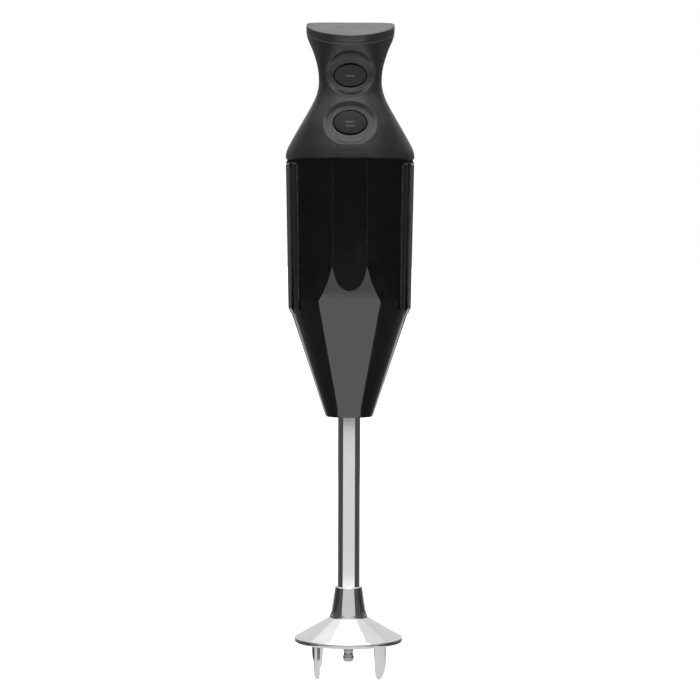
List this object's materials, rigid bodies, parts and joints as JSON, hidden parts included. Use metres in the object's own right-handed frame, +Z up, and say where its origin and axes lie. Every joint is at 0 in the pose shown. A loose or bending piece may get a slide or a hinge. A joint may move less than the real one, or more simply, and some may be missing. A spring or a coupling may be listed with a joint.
{
  "type": "immersion blender",
  "caption": "Hand-held immersion blender with a waisted grey handle, two push buttons, glossy black ribbed motor housing, slim steel shaft and a legged bell guard.",
  "frame": {"origin": "centre of the plane through the four leg tips, under the drive axis", "axes": "+Z up along the drive axis, -Y towards the side with the push buttons, +X to the right seen from that side"},
  "size_m": [0.0666, 0.0656, 0.3397],
  "materials": {
    "handle_grey": "fine satin moulded grain",
    "cap_grey": "satin moulded",
    "button_grey": "satin moulded",
    "housing_black": "high gloss moulded",
    "steel_polished": "polished stainless steel",
    "steel_turned": "turned stainless steel",
    "steel_zinc": "zinc plated screw steel",
    "lamination": "stacked electrical steel",
    "copper": "enamelled copper wire",
    "bronze": "sintered bronze",
    "rubber_black": "soft moulded rubber",
    "frame_plastic": "natural glass-filled moulding",
    "coupling_plastic": "moulded coupling plastic",
    "fan_plastic": "moulded fan plastic",
    "board_green": "coated circuit board",
    "capacitor_yellow": "cast resin",
    "switch_black": "moulded switch case",
    "graphite": "pressed carbon"
  },
  "bodies": {
    "body": {"bell_guard": "steel_polished", "bell_lock_ring": "steel_turned", "board_screws": "steel_zinc", "brush_holders": "bronze", "brush_springs": "steel_turned", "button_spring_high": "steel_turned", "button_spring_low": "steel_turned", "carbon_brushes": "graphite", "circuit_board": "board_green", "clamp_screws": "steel_zinc", "cord_clamp": "frame_plastic", "cord_gland": "rubber_black", "field_coils": "copper", "handle_shell": "handle_grey", "hub_sleeve": "steel_polished", "joint_ring": "switch_black", "joint_screws": "steel_zinc", "lip_seal": "rubber_black", "lower_bush": "bronze", "microswitch_high": "switch_black", "microswitch_low": "switch_black", "motor_bearing_high": "bronze", "motor_bearing_low": "bronze", "motor_bracket_high": "frame_plastic", "motor_bracket_low": "frame_plastic", "motor_housing": "housing_black", "motor_mount_high": "rubber_black", "motor_mount_low": "rubber_black", "motor_screws": "steel_zinc", "seal_clip": "steel_turned", "shaft_tube": "steel_polished", "speed_diode": "switch_black", "stator_core": "lamination", "suppression_capacitor": "capacitor_yellow", "switch_carrier": "frame_plastic", "top_cap": "cap_grey", "tube_clamp_ring": "frame_plastic", "tube_seal": "rubber_black", "upper_bush": "bronze"},
    "rotor": {"motor_shaft": "steel_turned", "armature_core": "lamination", "armature_windings": "copper", "commutator": "copper", "cooling_fan": "fan_plastic", "coupling_motor_half": "coupling_plastic"},
    "spindle_unit": {"spindle": "steel_turned", "coupling_driven_half": "coupling_plastic"},
    "upper_button": {"button_high": "button_grey", "switch_plunger_high": "coupling_plastic"},
    "lower_button": {"button_low": "button_grey", "switch_plunger_low": "coupling_plastic"}
  },
  "joints": [
    {"name": "rotor_spin", "type": "hinge", "parent": "body", "child": "rotor", "pos_m": [0, 0, 0.213], "axis": [0, 0, 1], "continuous": true},
    {"name": "spindle_spin", "type": "hinge", "parent": "body", "child": "spindle_unit", "pos_m": [0, 0, 0.1], "axis": [0, 0, 1], "continuous": true},
    {"name": "upper_button_press", "type": "slide", "parent": "body", "child": "upper_button", "axis": [0, 1, 0], "range_m": [0, 0.0014], "stiffness_N_per_m": 700, "springref_m": -0.0012, "deforming": ["button_spring_high"]},
    {"name": "lower_button_press", "type": "slide", "parent": "body", "child": "lower_button", "axis": [0, 1, 0], "range_m": [0, 0.0014], "stiffness_N_per_m": 700, "springref_m": -0.0012, "deforming": ["button_spring_low"]}
  ],
  "couplings": [
    {"joint": "spindle_spin", "follows": "rotor_spin", "ratio": 1}
  ]
}
